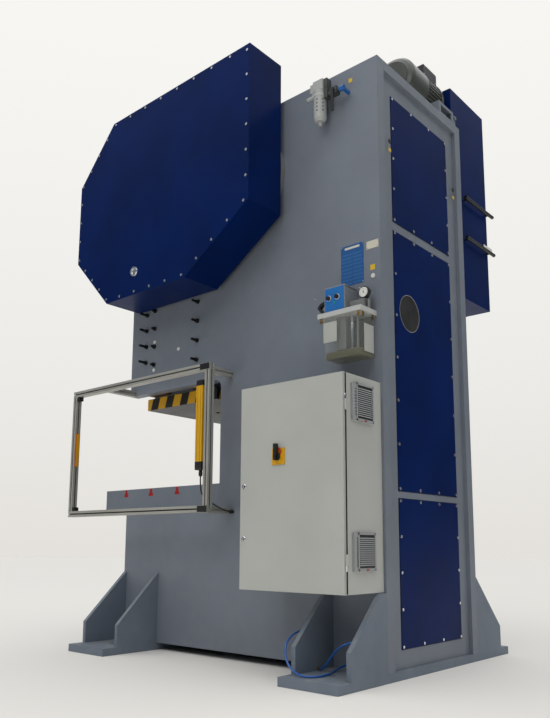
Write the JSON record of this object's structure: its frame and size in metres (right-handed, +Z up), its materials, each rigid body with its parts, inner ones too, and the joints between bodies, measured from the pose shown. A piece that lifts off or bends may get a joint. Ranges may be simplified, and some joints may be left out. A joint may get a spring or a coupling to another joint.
{
  "type": "mechanical stamping press",
  "caption": "Free-standing C-frame mechanical press with gear-driven crank, ram over a T-slotted bolster, sheet covers, control cabinet, lubricator and light-curtain side guard",
  "frame": {"origin": "on the floor in the middle of the four anchor bolt holes", "axes": "+X to the operator's right, -Y to the front of the press where the operator stands, +Z up"},
  "size_m": [2.145, 2.707, 4.253],
  "materials": {
    "frame_paint": "semi-gloss",
    "blue_paint": "orange peel gloss",
    "machined_steel": "ground",
    "dark_steel": "oiled",
    "cast_iron": "as cast",
    "bronze": "turned",
    "motor_paint": "semi-gloss",
    "black_plastic": "matte",
    "black_rubber": "matte",
    "aluminium": "anodised",
    "cabinet_paint": "textured",
    "grey_plastic": "matte",
    "clear_plastic": "clear",
    "yellow_paint": "gloss",
    "blue_hose": "smooth",
    "chrome": "polished",
    "zinc_screws": "zinc plated",
    "red_plastic": "gloss"
  },
  "bodies": {
    "frame": {"right_side_plate": "frame_paint", "left_side_plate": "frame_paint", "crown_plate": "frame_paint", "cross_plates": "frame_paint", "rear_wall": "frame_paint", "front_foot": "frame_paint", "rear_foot": "frame_paint", "bolster": "machined_steel", "rear_lower_cover": "blue_paint", "rear_middle_cover": "blue_paint", "rear_upper_cover": "blue_paint", "vent_cap": "grey_plastic", "cover_screws": "zinc_screws", "gear_cover_shell": "blue_paint", "gear_cover_face": "blue_paint", "flywheel_cover": "blue_paint", "cover_bars": "black_plastic", "oil_sight_glass": "chrome", "cover_studs": "machined_steel", "crank_bushes": "bronze", "pinion_bearings": "cast_iron", "v_belts": "black_rubber", "motor_base": "frame_paint", "motor_body": "motor_paint", "motor_cowl": "motor_paint", "terminal_box": "motor_paint", "gibs": "bronze", "gib_screws": "dark_steel", "cabinet_box": "cabinet_paint", "filter_grilles": "grey_plastic", "control_gear": "grey_plastic", "oil_tank": "clear_plastic", "tank_lid": "grey_plastic", "timer_box": "blue_paint", "pump_unit": "aluminium", "pressure_gauge": "black_plastic", "air_filter": "aluminium", "guard_frame": "aluminium", "guard_brackets": "black_plastic", "light_curtain": "yellow_paint", "air_hose": "blue_hose", "curtain_cable": "black_rubber", "cord_fittings": "black_plastic"},
    "crank": {"crankshaft": "machined_steel", "bull_gear": "dark_steel"},
    "conrod": {"connecting_rod": "cast_iron", "ball_screw": "machined_steel"},
    "pinion": {"pinion_shaft": "machined_steel", "clutch_brake": "cast_iron"},
    "flywheel": {"flywheel": "cast_iron"},
    "motor_rotor": {"motor_pulley": "cast_iron"},
    "ram": {"slide": "machined_steel"},
    "door": {"cabinet_door": "cabinet_paint", "switch_plate": "yellow_paint"},
    "lock_upper": {"lock_upper": "chrome"},
    "lock_lower": {"lock_lower": "chrome"},
    "switch_handle": {"switch_handle": "black_plastic"},
    "timer_knob_left": {"timer_knob_left": "black_plastic"},
    "timer_knob_right": {"timer_knob_right": "black_plastic"},
    "valve_handle": {"valve_handle": "black_plastic"}
  },
  "joints": [
    {"name": "ram_travel", "type": "slide", "parent": "frame", "child": "ram", "axis": [0, 0, 1], "range_m": [-0.16, 0]},
    {"name": "crank_turn", "type": "hinge", "parent": "frame", "child": "crank", "pos_m": [0, -0.72, 3.27], "axis": [1, 0, 0], "range_deg": [-180, 0]},
    {"name": "conrod_swing", "type": "hinge", "parent": "crank", "child": "conrod", "pos_m": [0, -0.72, 3.35], "axis": [1, 0, 0], "range_deg": [0, 180]},
    {"name": "pinion_turn", "type": "hinge", "parent": "frame", "child": "pinion", "pos_m": [0, 0.096, 3.27], "axis": [1, 0, 0], "range_deg": [0, 840]},
    {"name": "flywheel_spin", "type": "hinge", "parent": "frame", "child": "flywheel", "pos_m": [-0.75, 0.096, 3.27], "axis": [1, 0, 0], "continuous": true},
    {"name": "motor_spin", "type": "hinge", "parent": "frame", "child": "motor_rotor", "pos_m": [-0.6, 0.907, 4.044], "axis": [1, 0, 0], "continuous": true},
    {"name": "door_swing", "type": "hinge", "parent": "frame", "child": "door", "pos_m": [0.914, 1.165, 1.08], "axis": [0, 0, 1], "range_deg": [0, 120]},
    {"name": "lock_upper_turn", "type": "hinge", "parent": "door", "child": "lock_upper", "pos_m": [0.929, 0.435, 1.088], "axis": [1, 0, 0], "range_deg": [0, 90]},
    {"name": "lock_lower_turn", "type": "hinge", "parent": "door", "child": "lock_lower", "pos_m": [0.929, 0.435, 0.779], "axis": [1, 0, 0], "range_deg": [0, 90]},
    {"name": "switch_turn", "type": "hinge", "parent": "door", "child": "switch_handle", "pos_m": [0.929, 0.703, 1.25], "axis": [1, 0, 0], "range_deg": [0, 90]},
    {"name": "knob_left_turn", "type": "hinge", "parent": "frame", "child": "timer_knob_left", "pos_m": [0.686, 0.888, 2.22], "axis": [1, 0, 0], "range_deg": [0, 270]},
    {"name": "knob_right_turn", "type": "hinge", "parent": "frame", "child": "timer_knob_right", "pos_m": [0.686, 0.95, 2.22], "axis": [1, 0, 0], "range_deg": [0, 270]},
    {"name": "valve_turn", "type": "hinge", "parent": "frame", "child": "valve_handle", "pos_m": [0.65, 0.9, 3.62], "axis": [1, 0, 0], "range_deg": [0, 90]}
  ],
  "couplings": [
    {"joint": "crank_turn", "follows": "ram_travel", "rad_per_m": 19.635},
    {"joint": "conrod_swing", "follows": "ram_travel", "rad_per_m": -19.635},
    {"joint": "pinion_turn", "follows": "ram_travel", "rad_per_m": -91.63},
    {"joint": "motor_spin", "follows": "flywheel_spin", "ratio": 6.5621}
  ]
}
